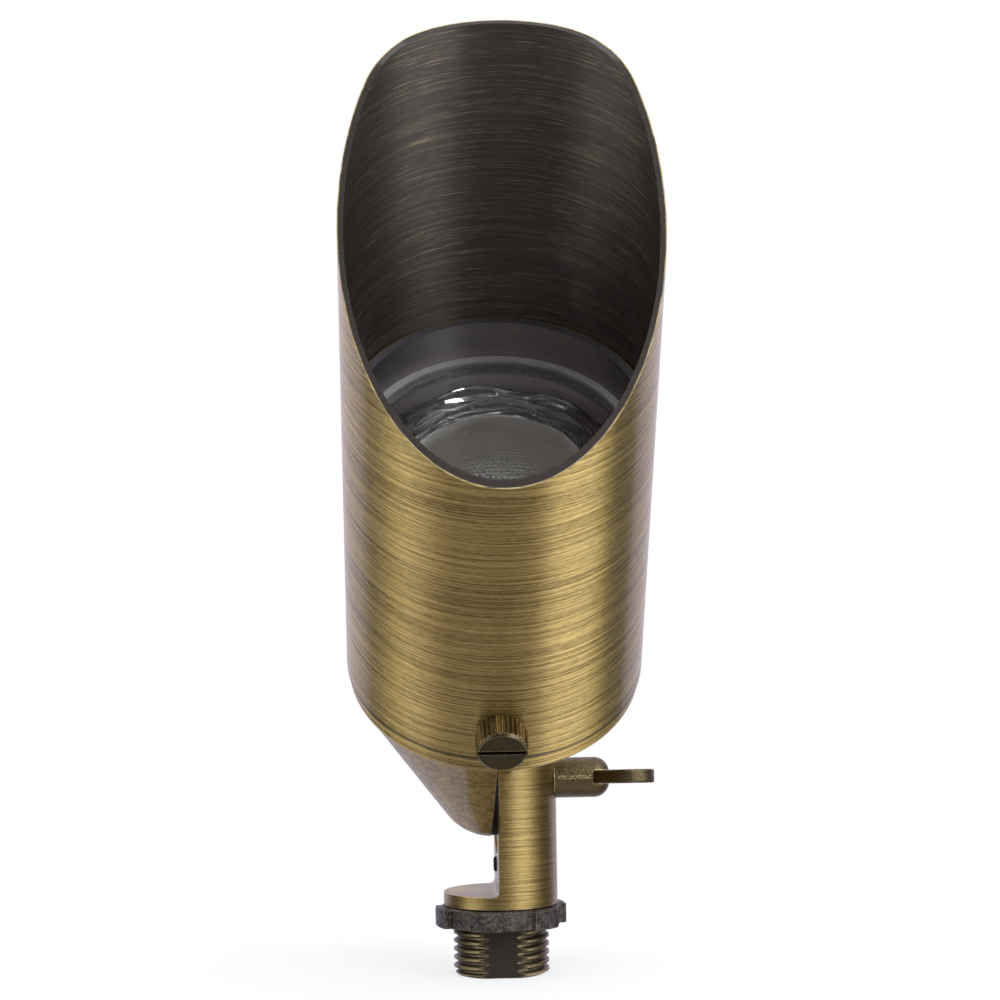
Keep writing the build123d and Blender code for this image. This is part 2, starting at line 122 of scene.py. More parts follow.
class SpotlightColours(bpy.types.PropertyGroup):
    """Colours of the finishes."""

    brass_light: FloatVectorProperty(
        name="Light brass",
        description="Rubbed lines of the brushed brass",
        subtype="COLOR",
        min=0.0,
        max=1.0,
        default=(0.86, 0.615, 0.226),
    )
    brass_dark: FloatVectorProperty(
        name="Dark brass",
        description="Patina between the rubbed lines",
        subtype="COLOR",
        min=0.0,
        max=1.0,
        default=(0.18, 0.115, 0.034),
    )
    brass_bare: FloatVectorProperty(
        name="Bare brass",
        description="Bright metal on worn edges",
        subtype="COLOR",
        min=0.0,
        max=1.0,
        default=(0.95, 0.76, 0.4),
    )
    # In hollows this colour is patina; along the foot of the shroud, where it meets the flange, it is painted
    # shade.
    bronze: FloatVectorProperty(
        name="Bronze",
        description="Dark patina in hollows and along the foot of the shroud",
        subtype="COLOR",
        min=0.0,
        max=1.0,
        default=(0.055, 0.047, 0.04),
    )
    hood_coat: FloatVectorProperty(
        name="Hood coat",
        description="Dark coating inside the hood",
        subtype="COLOR",
        min=0.0,
        max=1.0,
        default=(0.084, 0.068, 0.061),
    )
    bronze_scratch: FloatVectorProperty(
        name="Bronze scratch",
        description="Rubbed lines inside the hood",
        subtype="COLOR",
        min=0.0,
        max=1.0,
        default=(0.65, 0.52, 0.286),
    )
    black: FloatVectorProperty(
        name="Black",
        description="Rubber",
        subtype="COLOR",
        min=0.0,
        max=1.0,
        default=(0.009, 0.009, 0.009),
    )
    rubber_grain: FloatVectorProperty(
        name="Rubber grain",
        description="Paler grain of the rubber",
        subtype="COLOR",
        min=0.0,
        max=1.0,
        default=(0.03, 0.03, 0.031),
    )
    # The lamp cup wall is one finish: it is painted pale under the glass as painted light, and darker over
    # the glass as painted shade.
    cup_painted_light: FloatVectorProperty(
        name="Low cup",
        description="Satin wall of the lamp cup under the glass",
        subtype="COLOR",
        min=0.0,
        max=1.0,
        default=(0.95, 0.87, 0.88),
    )
    # Painted shade on the lamp cup wall over the glass.
    cup_painted_shade: FloatVectorProperty(
        name="High cup",
        description="Darker wall of the lamp cup over the glass",
        subtype="COLOR",
        min=0.0,
        max=1.0,
        default=(0.26, 0.234, 0.238),
    )
    thread_root: FloatVectorProperty(
        name="Thread root",
        description="Dark bottom of the thread",
        subtype="COLOR",
        min=0.0,
        max=1.0,
        default=(0.085, 0.07, 0.056),
    )
    thread_crest: FloatVectorProperty(
        name="Thread crest",
        description="Brighter top of the thread",
        subtype="COLOR",
        min=0.0,
        max=1.0,
        default=(0.28, 0.21, 0.115),
    )
    nut_coat: FloatVectorProperty(
        name="Nut coat",
        description="Dark coating of the lock nut",
        subtype="COLOR",
        min=0.0,
        max=1.0,
        default=(0.05, 0.042, 0.039),
    )
    nut_patch: FloatVectorProperty(
        name="Nut patch",
        description="Paler patches of the coating",
        subtype="COLOR",
        min=0.0,
        max=1.0,
        default=(0.165, 0.143, 0.133),
    )
    nut_rubbed: FloatVectorProperty(
        name="Rubbed nut",
        description="Brown metal where the coating is rubbed",
        subtype="COLOR",
        min=0.0,
        max=1.0,
        default=(0.5, 0.4, 0.26),
    )


class SpotlightSizes(bpy.types.PropertyGroup):
    """Sizes of the finishes and of the lamp's front."""

    brush_lines: FloatProperty(
        name="Brush lines",
        description="Rubbed lines for each millimetre of length",
        default=2.7,
        min=0.2,
        max=20.0,
    )
    brush_depth: FloatProperty(
        name="Brush depth",
        description="Depth of the rubbed lines",
        default=0.04 * MM,
        min=0.0,
        unit="LENGTH",
        precision=6,
    )
    edge_width: FloatProperty(
        name="Edge wear",
        description="Width of the bright line on worn edges",
        default=0.25 * MM,
        min=0.0,
        unit="LENGTH",
        precision=6,
    )
    cell_pitch: FloatProperty(
        name="Cell pitch",
        description="Distance between the lamp's honeycomb cells",
        default=1.25 * MM,
        min=0.2 * MM,
        unit="LENGTH",
        precision=5,
    )
    cell_height: FloatProperty(
        name="Cell height",
        description="Height of the lamp's honeycomb cells",
        default=0.25 * MM,
        min=0.0,
        unit="LENGTH",
        precision=5,
    )
    dome_bend: FloatProperty(
        name="Dome bend",
        description="Radius of the curve of the lamp's domed lens",
        default=40 * MM,
        min=25 * MM,
        unit="LENGTH",
        precision=4,
    )
    glass_waves: IntProperty(
        name="Glass waves",
        description="Waves round the lamp's pressed glass rim",
        default=8,
        min=0,
        max=60,
    )
    wave_height: FloatProperty(
        name="Wave height",
        description="Height of the waves of the pressed glass rim",
        default=0.5 * MM,
        min=0.0,
        unit="LENGTH",
        precision=5,
    )


class SpotlightStage(bpy.types.PropertyGroup):
    """Camera, lights and backdrop."""

    camera_place: FloatVectorProperty(
        name="Camera place",
        description="Where the camera stands",
        subtype="TRANSLATION",
        default=(-0.026785, -0.656824, 0.096405),
    )
    camera_turn: FloatVectorProperty(
        name="Camera turn",
        description="How the camera is turned",
        subtype="EULER",
        default=(math.radians(89.71999), math.radians(0.9215), math.radians(-2.44915)),
    )
    camera_lens: FloatProperty(
        name="Camera lens",
        description="Focal length in millimetres",
        default=107.654,
        min=1.0,
    )
    left_angle: FloatProperty(
        name="Left angle",
        description="Angle between the camera and the left softbox, seen from above",
        default=math.radians(60),
        subtype="ANGLE",
    )
    right_angle: FloatProperty(
        name="Right angle",
        description="Angle between the camera and the right softbox, seen from above",
        default=math.radians(43.5),
        subtype="ANGLE",
    )
    left_power: FloatProperty(
        name="Left power",
        description="Power of the left softbox",
        default=9.0,
        min=0.0,
    )
    right_power: FloatProperty(
        name="Right power",
        description="Power of the right softbox",
        default=14.5,
        min=0.0,
    )
    softbox_colour: FloatVectorProperty(
        name="Softbox colour",
        description="Colour of the lights",
        subtype="COLOR",
        min=0.0,
        max=1.0,
        default=(0.86, 0.94, 1.0),
    )
    top_power: FloatProperty(
        name="Top power",
        description="Power of the light from above",
        default=3.6,
        min=0.0,
    )
    backdrop: FloatVectorProperty(
        name="Backdrop",
        description="Colour that metal reflects from behind the spotlight",
        subtype="COLOR",
        min=0.0,
        max=1.0,
        default=(0.76, 0.74, 0.95),
    )
    room: FloatVectorProperty(
        name="Room",
        description="Colour of the room on the camera's side",
        subtype="COLOR",
        min=0.0,
        max=1.0,
        default=(0.09, 0.09, 0.095),
    )
    table: FloatVectorProperty(
        name="Table",
        description="Colour that metal reflects from the floor in front of the spotlight",
        subtype="COLOR",
        min=0.0,
        max=1.0,
        default=(0.31, 0.31, 0.31),
    )
    ceiling: FloatVectorProperty(
        name="Ceiling",
        description="Colour of the room above the spotlight",
        subtype="COLOR",
        min=0.0,
        max=1.0,
        default=(0.95, 0.95, 1.0),
    )


# Wiring of shader nodes


class Wiring:
    """Adds nodes to one tree and joins them."""

    def __init__(self, tree):
        self.tree = tree

    def feed(self, socket, value):
        """Give a socket a value or another node's output."""
        if isinstance(value, bpy.types.NodeSocket):
            self.tree.links.new(value, socket)
        else:
            socket.default_value = value

    def node(self, kind, feeds=None, **options):
        """Add a shader node with its options and inputs."""
        made = self.tree.nodes.new("ShaderNode" + kind)
        for name, value in options.items():
            setattr(made, name, value)
        for name, value in (feeds or {}).items():
            self.feed(made.inputs[name], value)
        return made

    def group(self, name, **feeds):
        """Place a shared effect and give its outputs."""
        made = self.node("Group", node_tree=bpy.data.node_groups[name])
        for label, value in feeds.items():
            self.feed(made.inputs[label.replace("_", " ").capitalize()], value)
        return made.outputs

    def math(self, operation, first, second):
        """A sum, product or other step on two values."""
        made = self.node("Math", operation=operation)
        self.feed(made.inputs[0], first)
        self.feed(made.inputs[1], second)
        return made.outputs[0]

    def vector(self, operation, first, second=(0.0, 0.0, 0.0)):
        """A step on two vectors."""
        made = self.node("VectorMath", operation=operation)
        self.feed(made.inputs[0], first)
        self.feed(made.inputs[1], second)
        plain = operation in ("DOT_PRODUCT", "LENGTH")
        return made.outputs["Value" if plain else "Vector"]

    def scaled(self, vector, factor):
        """A vector times a value."""
        made = self.node("VectorMath", operation="SCALE")
        self.feed(made.inputs[0], vector)
        self.feed(made.inputs["Scale"], factor)
        return made.outputs["Vector"]

    def step(self, value, low, high, start=0.0, end=1.0):
        """A smooth step from start to end as the value goes from low to high."""
        feeds = {"Value": value, "From Min": low, "From Max": high, "To Min": start, "To Max": end}
        return self.node("MapRange", feeds, interpolation_type="SMOOTHSTEP").outputs["Result"]

    def blend(self, factor, first, second):
        """A colour between two colours."""
        made = self.node("Mix", data_type="RGBA")
        for index, value in ((0, factor), (6, first), (7, second)):
            self.feed(made.inputs[index], value)
        return made.outputs[2]

    def noise(self, vector, scale, detail=2.0, roughness=0.5):
        """Soft noise from 0 to 1."""
        feeds = {"Vector": vector, "Scale": scale, "Detail": detail, "Roughness": roughness}
        return self.node("TexNoise", feeds).outputs["Fac"]

    def bump(self, height, distance, strength=1.0, normal=None):
        """A normal that follows a height."""
        feeds = {"Height": height, "Distance": distance, "Strength": strength}
        if normal is not None:
            feeds["Normal"] = normal
        return self.node("Bump", feeds).outputs["Normal"]


def opaque(colour):
    """A colour property as a shader colour."""
    return (*colour, 1.0)


def shader_group(name, inputs, outputs):
    """A new shared effect: its wiring, what comes in and what goes out."""
    tree = bpy.data.node_groups.new(name, "ShaderNodeTree")
    for way, sockets in (("INPUT", inputs), ("OUTPUT", outputs)):
        for label, kind in sockets.items():
            tree.interface.new_socket(label, in_out=way, socket_type="NodeSocket" + kind)
    start = tree.nodes.new("NodeGroupInput")
    end = tree.nodes.new("NodeGroupOutput")
    return Wiring(tree), start.outputs, end.inputs


def piece_axes_group():
    """Places on a piece in the piece's own turned frame."""
    wires, came, goes = shader_group(
        "Piece axes",
        {"Foot": "Vector", "Turn": "Vector"},
        {"Local": "Vector", "Around": "Vector", "Along": "Float", "Radius": "Float"},
    )
    place = wires.node("TexCoord").outputs["Object"]
    feeds = {"Vector": place, "Location": came["Foot"], "Rotation": came["Turn"]}
    local = wires.node("Mapping", feeds, vector_type="TEXTURE").outputs["Vector"]
    parts = wires.node("SeparateXYZ", {"Vector": local}).outputs
    flat = wires.node("CombineXYZ", {"X": parts["X"], "Y": parts["Y"]}).outputs["Vector"]
    wires.feed(goes["Local"], local)
    wires.feed(goes["Around"], wires.vector("NORMALIZE", flat))
    wires.feed(goes["Along"], parts["Z"])
    wires.feed(goes["Radius"], wires.vector("LENGTH", flat))


def brushed_lines_group():
    """Rubbed lines round an axis: their tone, the fine ones alone, and single scratches."""
    wires, came, goes = shader_group(
        "Brushed lines",
        {"Around": "Vector", "Along": "Float", "Lines": "Float", "Sweep": "Float"},
        {"Tone": "Float", "Fine": "Float", "Scratch": "Float"},
    )
    height = wires.math("MULTIPLY", wires.math("DIVIDE", came["Along"], MM), came["Lines"])
    way = wires.scaled(came["Around"], came["Sweep"])

    def lines(share, stretch, detail):
        up = wires.node("CombineXYZ", {"Z": wires.math("MULTIPLY", height, share)}).outputs["Vector"]
        return wires.noise(wires.vector("ADD", wires.scaled(way, stretch), up), 1.0, detail, 0.75)

    fine = lines(1.0, 0.45, 2.0)
    broad = lines(0.15, 0.3, 1.0)
    scratch = lines(2.2, 1.8, 1.0)
    grain = lines(1.8, 10.0, 1.0)
    fine = wires.step(fine, 0.34, 0.66)
    shares = ((fine, 0.62), (wires.step(broad, 0.3, 0.7), 0.08), (wires.step(grain, 0.3, 0.7), 0.3))
    tone = 0.0
    for part, share in shares:
        tone = wires.math("ADD", wires.math("MULTIPLY", part, share), tone)
    wires.feed(goes["Tone"], tone)
    wires.feed(goes["Fine"], fine)
    wires.feed(goes["Scratch"], wires.step(scratch, 0.63, 0.8))


def worn_edges_group():
    """Where a piece's edges are rubbed bare."""
    wires, came, goes = shader_group("Worn edges", {"Width": "Float", "Patches": "Float"}, {"Wear": "Float"})
    round_normal = wires.node("Bevel", {"Radius": came["Width"]}, samples=6).outputs["Normal"]
    true_normal = wires.node("NewGeometry").outputs["Normal"]
    turn = wires.math("SUBTRACT", 1.0, wires.vector("DOT_PRODUCT", round_normal, true_normal))
    place = wires.node("TexCoord").outputs["Object"]
    patches = wires.noise(place, came["Patches"], 3.0)
    rubbed = wires.math("MULTIPLY", wires.step(turn, 0.015, 0.16), wires.step(patches, 0.3, 0.55))
    wires.feed(goes["Wear"], rubbed)


def cast_skin_group():
    """The grain of a sand casting: its height, and patches of darker patina."""
    wires, came, goes = shader_group("Cast skin", {"Grain": "Float"}, {"Height": "Float", "Patina": "Float"})
    place = wires.node("TexCoord").outputs["Object"]
    grain = wires.noise(place, came["Grain"], 4.0, 0.65)
    lumps = wires.noise(place, wires.math("MULTIPLY", came["Grain"], 0.22), 2.0)
    height = wires.math("ADD", wires.math("MULTIPLY", grain, 0.6), wires.math("MULTIPLY", lumps, 0.4))
    wires.feed(goes["Height"], height)
    patches = wires.math("ADD", grain, wires.math("MULTIPLY", lumps, 0.6))
    wires.feed(goes["Patina"], wires.step(patches, 0.6, 1.05))


def dust_group():
    """Sparse specks of dust."""
    wires, came, goes = shader_group("Dust", {"Scale": "Float", "Share": "Float"}, {"Specks": "Float"})
    place = wires.node("TexCoord").outputs["Object"]
    cells = wires.node("TexVoronoi", {"Vector": place, "Scale": came["Scale"]})
    chance = wires.node("SeparateColor", {"Color": cells.outputs["Color"]}).outputs["Red"]
    dots = wires.step(cells.outputs["Distance"], 0.2, 0.08)
    chosen = wires.math("LESS_THAN", chance, came["Share"])
    wires.feed(goes["Specks"], wires.math("MULTIPLY", dots, chosen))


# Materials


def new_material(name):
    """A fresh material, its wiring and its Principled shader's inputs."""
    material = bpy.data.materials.new(name)
    material.use_nodes = True
    return material, Wiring(material.node_tree), material.node_tree.nodes["Principled BSDF"].inputs


def dress(material, *names):
    """Put a material on solids of the frame."""
    for name in names:
        NODES[name].material_slots[0].material = material


def axes_of(wires, piece_frame):
    """The piece's own axes, for a frame given as foot and turn."""
    foot, turn = piece_frame
    return wires.group("Piece axes", foot=foot, turn=turn)


def brush_of(wires, axes, lines):
    """The rubbed lines round a piece's own axis, for a number of lines in each millimetre."""
    return wires.group(
        "Brushed lines", around=axes["Around"], along=axes["Along"], lines=lines, sweep=BRUSH_SWEEP
    )


def stretch_gloss(wires, shader, way, amount):
    """Stretch reflections along a way of the piece, across its brush lines."""
    turned = wires.node(
        "VectorTransform", {"Vector": way}, vector_type="VECTOR", convert_from="OBJECT", convert_to="WORLD"
    )
    wires.feed(shader["Tangent"], turned.outputs["Vector"])
    shader["Anisotropic"].default_value = amount


def lacquer(shader, weight, rough=0.12, bend=1.36):
    """A thin clear lacquer over the metal."""
    shader["Coat Weight"].default_value = weight
    shader["Coat Roughness"].default_value = rough
    shader["Coat IOR"].default_value = bend


def brushed_tube(colours, sizes):
    """Brushed brass outside with painted shade along its foot, dark bronze with gold scratches inside and a
    plain rim with a bare edge.
    """
    material, wires, shader = new_material("brushed_shroud")
    axes = axes_of(wires, ALONG_HEAD)
    brush = brush_of(wires, axes, sizes.brush_lines)
    wear = wires.group("Worn edges", width=sizes.edge_width, patches=900.0)["Wear"]
    radius = axes["Radius"]
    near_wall = 0.06 * MM
    off_wall = 0.12 * MM
    outside = wires.step(radius, SHROUD_RADIUS - off_wall, SHROUD_RADIUS - near_wall)
    inside = wires.step(radius, BORE_RADIUS + off_wall, BORE_RADIUS + near_wall)
    edge = wires.step(radius, SHROUD_RADIUS - 0.28 * MM, SHROUD_RADIUS - 0.16 * MM)
    rubbed = wires.step(wires.noise(axes["Local"], 260.0, 3.0), 0.35, 0.65, 0.2, 0.9)
    edge = wires.math("MULTIPLY", edge, rubbed)
    gold = wires.blend(brush["Tone"], opaque(colours.brass_dark), opaque(colours.brass_light))
    gold = wires.blend(wear, gold, opaque(colours.brass_bare))
    # Painted shade: a dark band along the foot of the shroud, where it meets the flange.
    seam_shade = wires.step(axes["Along"], SHROUD_LOW + 1.0 * MM, SHROUD_LOW + 0.4 * MM, 0.0, 0.8)
    gold = wires.blend(seam_shade, gold, opaque(colours.bronze))
    streaks = wires.step(brush["Tone"], 0.5, 0.95, 0.0, 0.13)
    marks = wires.math("MAXIMUM", wires.math("MULTIPLY", brush["Scratch"], 0.6), streaks)
    marks = wires.math("MULTIPLY", marks, inside)
    bronze = wires.blend(marks, opaque(colours.hood_coat), opaque(colours.bronze_scratch))
    bronze = wires.blend(edge, bronze, opaque(colours.brass_bare))
    wires.feed(shader["Base Color"], wires.blend(outside, bronze, gold))
    wires.feed(shader["Metallic"], wires.math("ADD", 0.85, wires.math("MULTIPLY", outside, 0.15)))
    shader["Specular IOR Level"].default_value = 0.2
    stretch_gloss(wires, shader, tuple(HEAD_AXIS), 0.95)
    lacquer(shader, 0.6)
    wires.feed(shader["Roughness"], wires.math("SUBTRACT", 0.6, wires.math("MULTIPLY", outside, 0.23)))
    height = wires.math("ADD", brush["Fine"], wires.math("MULTIPLY", brush["Scratch"], 0.6))
    wires.feed(shader["Normal"], wires.bump(height, sizes.brush_depth))
    return material


def satin_housing(colours, sizes):
    """Satin cast brass, turned on the flange, and a grey wall inside the lamp cup, painted pale as light
    under the glass and darker as shade over it.
    """
    material, wires, shader = new_material("satin_housing")
    axes = axes_of(wires, ALONG_HEAD)
    brush = brush_of(wires, axes, sizes.brush_lines)
    skin = wires.group("Cast skin", grain=2600.0)
    wear = wires.group("Worn edges", width=sizes.edge_width, patches=500.0)["Wear"]
    wear = wires.math("MULTIPLY", wear, wires.step(axes["Along"], SHROUD_LOW + 1 * MM, SHROUD_LOW))
    flange = wires.step(axes["Along"], SHROUD_LOW - 6.5 * MM, SHROUD_LOW - 4.5 * MM)
    cup = wires.step(axes["Radius"], BORE_RADIUS - 0.3 * MM, BORE_RADIUS - 0.8 * MM)
    cup = wires.math("MULTIPLY", cup, wires.step(axes["Along"], SHROUD_LOW - 3 * MM, SHROUD_LOW))
    lines = wires.math("MULTIPLY", brush["Fine"], flange)
    tone = wires.math("MAXIMUM", lines, wires.math("MULTIPLY", skin["Patina"], 0.6))
    gold = wires.blend(tone, opaque(colours.brass_dark), opaque(colours.brass_light))
    gold = wires.blend(wear, gold, opaque(colours.brass_bare))
    # Painted light and shade: the cup wall is painted pale under the glass and darker over it.
    painted_shade_over_glass = wires.step(axes["Along"], PANE_LOW, PANE_HIGH)
    satin = wires.blend(painted_shade_over_glass, opaque(colours.cup_painted_light), opaque(colours.cup_painted_shade))
    marks = wires.math("MULTIPLY", brush["Fine"], 0.12)
    satin = wires.blend(marks, satin, opaque(colours.bronze_scratch))
    wires.feed(shader["Base Color"], wires.blend(cup, gold, satin))
    shader["Metallic"].default_value = 1.0
    stretch_gloss(wires, shader, tuple(HEAD_AXIS), 0.8)
    lacquer(shader, 0.4)
    wires.feed(shader["Roughness"], wires.math("ADD", 0.4, wires.math("MULTIPLY", skin["Height"], 0.14)))
    grain = wires.bump(skin["Height"], sizes.brush_depth)
    wires.feed(shader["Normal"], wires.bump(lines, 0.8 * sizes.brush_depth, 1.0, grain))
    return material


def brushed_stem(colours, sizes):
    """Brushed brass post and disc, and a thread with dark roots and brighter crests."""
    material, wires, shader = new_material("brushed_stem")
    axes = axes_of(wires, UPRIGHT)
    brush = brush_of(wires, axes, 1.5 * sizes.brush_lines)
    skin = wires.group("Cast skin", grain=3200.0)
    wear = wires.group("Worn edges", width=sizes.edge_width, patches=700.0)["Wear"]
    thread = wires.step(axes["Along"], NUT_HIGH + 0.3 * MM, NUT_HIGH)
    crest = wires.step(axes["Radius"], THREAD_RADIUS - THREAD_DEPTH, THREAD_RADIUS)
    tone = wires.math("MULTIPLY", brush["Tone"], 0.55)
    gold = wires.blend(tone, opaque(colours.brass_dark), opaque(colours.brass_light))
    root = wires.blend(crest, opaque(colours.thread_root), opaque(colours.thread_crest))
    gold = wires.blend(thread, gold, root)
    gold = wires.blend(wear, gold, opaque(colours.brass_bare))
    wires.feed(shader["Base Color"], gold)
    shader["Metallic"].default_value = 1.0
    stretch_gloss(wires, shader, (0.0, 0.0, 1.0), 0.4)
    lacquer(shader, 0.5, 0.3, 1.4)
    wires.feed(shader["Coat Weight"], wires.math("MULTIPLY", wires.math("SUBTRACT", 1.0, thread), 0.5))
    wires.feed(shader["Roughness"], wires.math("ADD", 0.38, wires.math("MULTIPLY", brush["Tone"], 0.1)))
    height = wires.math("ADD", brush["Fine"], wires.math("MULTIPLY", skin["Height"], 0.4))
    wires.feed(shader["Normal"], wires.bump(height, 0.6 * sizes.brush_depth))
    return material


def cast_screw(name, colours, edge_width, grain, depth, dark):
    """Cast brass with a fine grain, dark in its hollows and bare on its edges."""
    material, wires, shader = new_material(name)
    skin = wires.group("Cast skin", grain=grain)
    wear = wires.group("Worn edges", width=edge_width, patches=1100.0)["Wear"]
    gold = wires.blend(skin["Patina"], opaque(colours.brass_dark), opaque(colours.brass_light))
    gold = wires.blend(wires.math("MULTIPLY", skin["Height"], dark), gold, opaque(colours.bronze))
    wires.feed(shader["Base Color"], wires.blend(wear, gold, opaque(colours.brass_bare)))
    shader["Metallic"].default_value = 1.0
    wires.feed(shader["Roughness"], wires.math("ADD", 0.24, wires.math("MULTIPLY", skin["Height"], 0.15)))
    wires.feed(shader["Normal"], wires.bump(skin["Height"], depth))
    return material


def coated_nut(colours, sizes):
    """Rough dark coating with brown flecks, and brown edges where it is rubbed."""
    material, wires, shader = new_material("coated_nut")
    skin = wires.group("Cast skin", grain=1400.0)
    wear = wires.group("Worn edges", width=1.4 * sizes.edge_width, patches=1500.0)["Wear"]
    flecks = wires.group("Dust", scale=900.0, share=0.25)["Specks"]
    rubbed = wires.math("MAXIMUM", wires.math("MULTIPLY", wear, 0.8), wires.math("MULTIPLY", flecks, 0.5))
    coat = wires.blend(skin["Patina"], opaque(colours.nut_coat), opaque(colours.nut_patch))
    wires.feed(shader["Base Color"], wires.blend(rubbed, coat, opaque(colours.nut_rubbed)))
    shader["Metallic"].default_value = 1.0
    wires.feed(shader["Roughness"], wires.math("ADD", 0.26, wires.math("MULTIPLY", skin["Height"], 0.25)))
    wires.feed(shader["Normal"], wires.bump(skin["Height"], 0.8 * MM))
    return material


def soft_rubber(colours):
    """Matt black rubber with a fine grain."""
    material, wires, shader = new_material("soft_rubber")
    skin = wires.group("Cast skin", grain=4200.0)
    black = wires.blend(skin["Patina"], opaque(colours.black), opaque(colours.rubber_grain))
    wires.feed(shader["Base Color"], black)
    wires.feed(shader["Roughness"], wires.math("ADD", 0.5, wires.math("MULTIPLY", skin["Height"], 0.3)))
    wires.feed(shader["Normal"], wires.bump(skin["Height"], 0.02 * MM))
    shader["Specular IOR Level"].default_value = 0.15
    return material


def clear_glass(name, tint, rough, dusty, ripple=0.0):
    """Clear glass, a little rough where dust lies on it, with soft ripples if it is pressed."""
    material, wires, shader = new_material(name)
    specks = wires.group("Dust", scale=420.0, share=dusty)["Specks"]
    wires.feed(shader["Base Color"], wires.blend(specks, tint, WHITE))
    wires.feed(shader["Roughness"], wires.math("ADD", rough, wires.math("MULTIPLY", specks, 0.6)))
    if ripple:
        place = wires.node("TexCoord").outputs["Object"]
        wires.feed(shader["Normal"], wires.bump(wires.noise(place, 140.0), ripple))
    shader["IOR"].default_value = 1.5
    shader["Transmission Weight"].default_value = 1.0
    return material


def speckled(name, first, second, rough, metallic=0.0, grain=1800.0, depth=0.01 * MM):
    """A plain finish of two near colours with a fine grain."""
    material, wires, shader = new_material(name)
    skin = wires.group("Cast skin", grain=grain)
    wires.feed(shader["Base Color"], wires.blend(skin["Patina"], opaque(first), opaque(second)))
    wires.feed(shader["Roughness"], wires.math("ADD", rough, wires.math("MULTIPLY", skin["Height"], 0.15)))
    wires.feed(shader["Normal"], wires.bump(skin["Height"], depth))
    shader["Metallic"].default_value = metallic
    return material


# Meshes of the lamp's front


def keep_mesh(name, mesh_data, material, sharp=60):
    """A new piece of the head from a bmesh in the head's frame, smooth but for edges above an angle."""
    mesh_data.transform(HEAD_FRAME)
    bmesh.ops.recalc_face_normals(mesh_data, faces=mesh_data.faces)
    mesh = bpy.data.meshes.new(name)
    mesh_data.to_mesh(mesh)
    mesh_data.free()
    mesh.materials.append(material)
    mesh.shade_smooth()
    mesh.set_sharp_from_angle(angle=math.radians(sharp))
    piece = bpy.data.objects.new(name, mesh)
    bpy.context.scene.collection.objects.link(piece)
    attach(piece, "head")
    return piece


def wave(angle, count, shift):
    """An uneven wave round a circle, from -1 to 1."""
    quick = math.sin(count * angle + shift)
    slow = math.sin((count - 4) * angle + 2.1 * shift)
    return 0.6 * quick + 0.4 * slow


def turned_rings(rings, around, centre=None):
    """A surface through rings, each a function from angle to radius and height.

    Two heights of a centre close its ends by points. Without them the last ring joins the first.
    """
    made = bmesh.new()
    rows = []
    for ring in rings:
        row = []
        for index in range(around):
            angle = 2 * math.pi * index / around
            radius, height = ring(angle)
            row.append(made.verts.new((radius * math.cos(angle), radius * math.sin(angle), height)))
        rows.append(row)
    pairs = list(zip(rows, rows[1:])) if centre else list(zip(rows, rows[1:] + rows[:1]))
    for lower, upper in pairs:
        for index in range(around):
            after = (index + 1) % around
            made.faces.new((lower[index], lower[after], upper[after], upper[index]))
    if centre:
        for row, height in zip((rows[0], rows[-1]), centre):
            tip = made.verts.new((0.0, 0.0, height))
            for index in range(around):
                made.faces.new((row[index], row[(index + 1) % around], tip))
    return made


def cell_height(x, y, pitch):
    """Height from 0 to 1 of a honeycomb of round cells."""
    row_step = pitch * math.sqrt(3) / 2
    row = round(y / row_step)
    best = pitch
    for near in (row - 1, row, row + 1):
        shift = pitch / 2 * (near % 2)
        column = round((x - shift) / pitch)
        best = min(best, math.hypot(x - shift - column * pitch, y - near * row_step))
    return max(0.0, 1.0 - (2 * best / pitch) ** 2)


def smooth_fade(value, low, high):
    """1 below low, 0 above high and smooth between them."""
    share = min(1.0, max(0.0, (high - value) / (high - low)))
    return share * share * (3 - 2 * share)


def lamp_lens_mesh(sizes):
    """Domed lens with honeycomb cells in its middle and a wavy edge."""
    edge_height = 1.0 * MM
    cells_full = 4 * MM
    cells_end = 9 * MM
    ripple_start = 0.8 * DOME_RADIUS
    ripple_shift = 0.7
    foot_bore = DOME_RADIUS * 0.02
    across = 100
    around = 200
    foot = dome_height(DOME_RADIUS, sizes) - edge_height

    def top(radius):
        def ring(angle):
            x = radius * math.cos(angle)
            y = radius * math.sin(angle)
            cells = cell_height(x, y, sizes.cell_pitch) * smooth_fade(radius, cells_full, cells_end)
            rising = 1 - smooth_fade(radius, ripple_start, DOME_RADIUS)
            ripple = wave(angle, sizes.glass_waves, ripple_shift) * rising
            return radius, dome_height(radius, sizes) + cells * sizes.cell_height + ripple * sizes.wave_height

        return ring

    rings = [lambda angle: (foot_bore, foot), lambda angle: (DOME_RADIUS, foot)]
    rings += [top(DOME_RADIUS * (1 - index / across)) for index in range(across)]
    return turned_rings(rings, around, (foot, DOME_TOP))


def dome_height(radius, sizes):
    """Height of the lens's dome at a radius, without its cells."""
    return DOME_TOP - radius * radius / (2 * sizes.dome_bend)


def lamp_cone_mesh():
    """Pale lining of the lamp, from the neck to the foot of the dome."""
    wall = 1.5 * MM
    lens_gap = 0.4 * MM
    top = LENS_LOW - lens_gap
    outline = (
        (SHELL_BORE, SHELL_LOW),
        (SHELL_BORE + wall, SHELL_LOW),
        (DOME_RADIUS + wall, top),
        (DOME_RADIUS, top),
    )
    return turned_rings([lambda angle, corner=corner: corner for corner in outline], 128)


